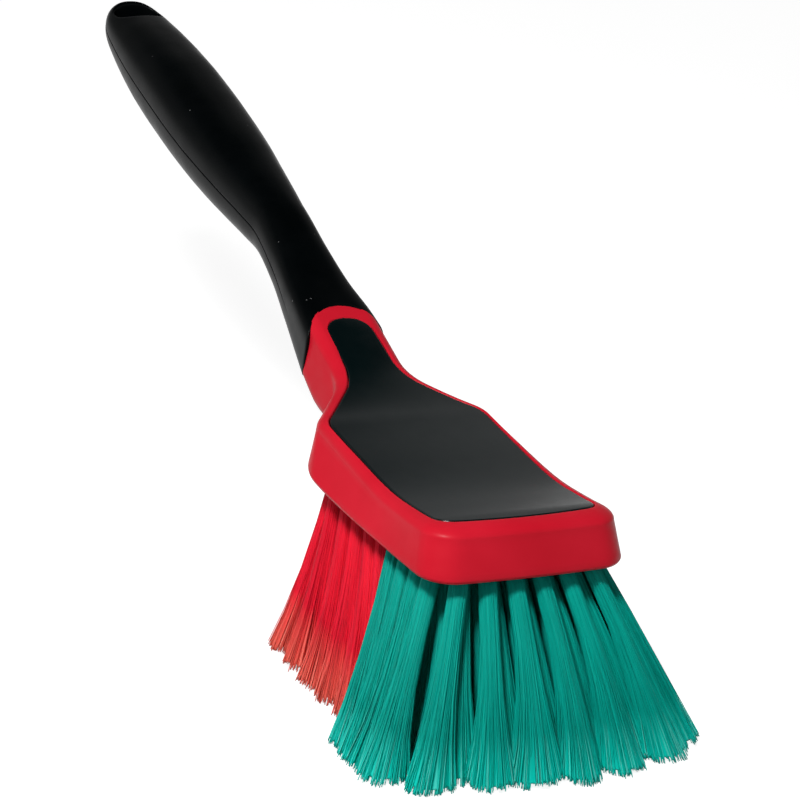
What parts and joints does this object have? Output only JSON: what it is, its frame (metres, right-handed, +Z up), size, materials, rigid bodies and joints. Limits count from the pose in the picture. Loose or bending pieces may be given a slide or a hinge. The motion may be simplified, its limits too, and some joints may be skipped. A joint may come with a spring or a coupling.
{
  "type": "scrub brush",
  "caption": "Hand-held scrub brush with a long soft grip that rises to a hang hole, a rounded soft bumper round the head, and flared two-tone bristles.",
  "frame": {"origin": "on the plane of the bristle tips, under the middle of the brush's length and width", "axes": "+Z up from the bristle tips to the panel, +Y along the brush from the head to the handle's end, +X across it"},
  "size_m": [0.1202, 0.3484, 0.1316],
  "materials": {
    "core": "satin",
    "bumper": "satin",
    "grip": "satin",
    "teal_bristle": "satin",
    "red_bristle": "satin"
  },
  "bodies": {
    "root": {"core": "core", "bumper": "bumper", "grip": "grip", "teal_tuft_row_1": "teal_bristle", "teal_tuft_row_2": "teal_bristle", "teal_tuft_row_3": "teal_bristle", "teal_tuft_row_4": "teal_bristle", "teal_tuft_row_5": "teal_bristle", "red_tuft_row_1": "red_bristle", "red_tuft_row_2": "red_bristle", "red_tuft_row_3": "red_bristle", "red_tuft_row_4": "red_bristle", "red_tuft_row_5": "red_bristle", "red_tuft_row_6": "red_bristle"}
  },
  "joints": []
}
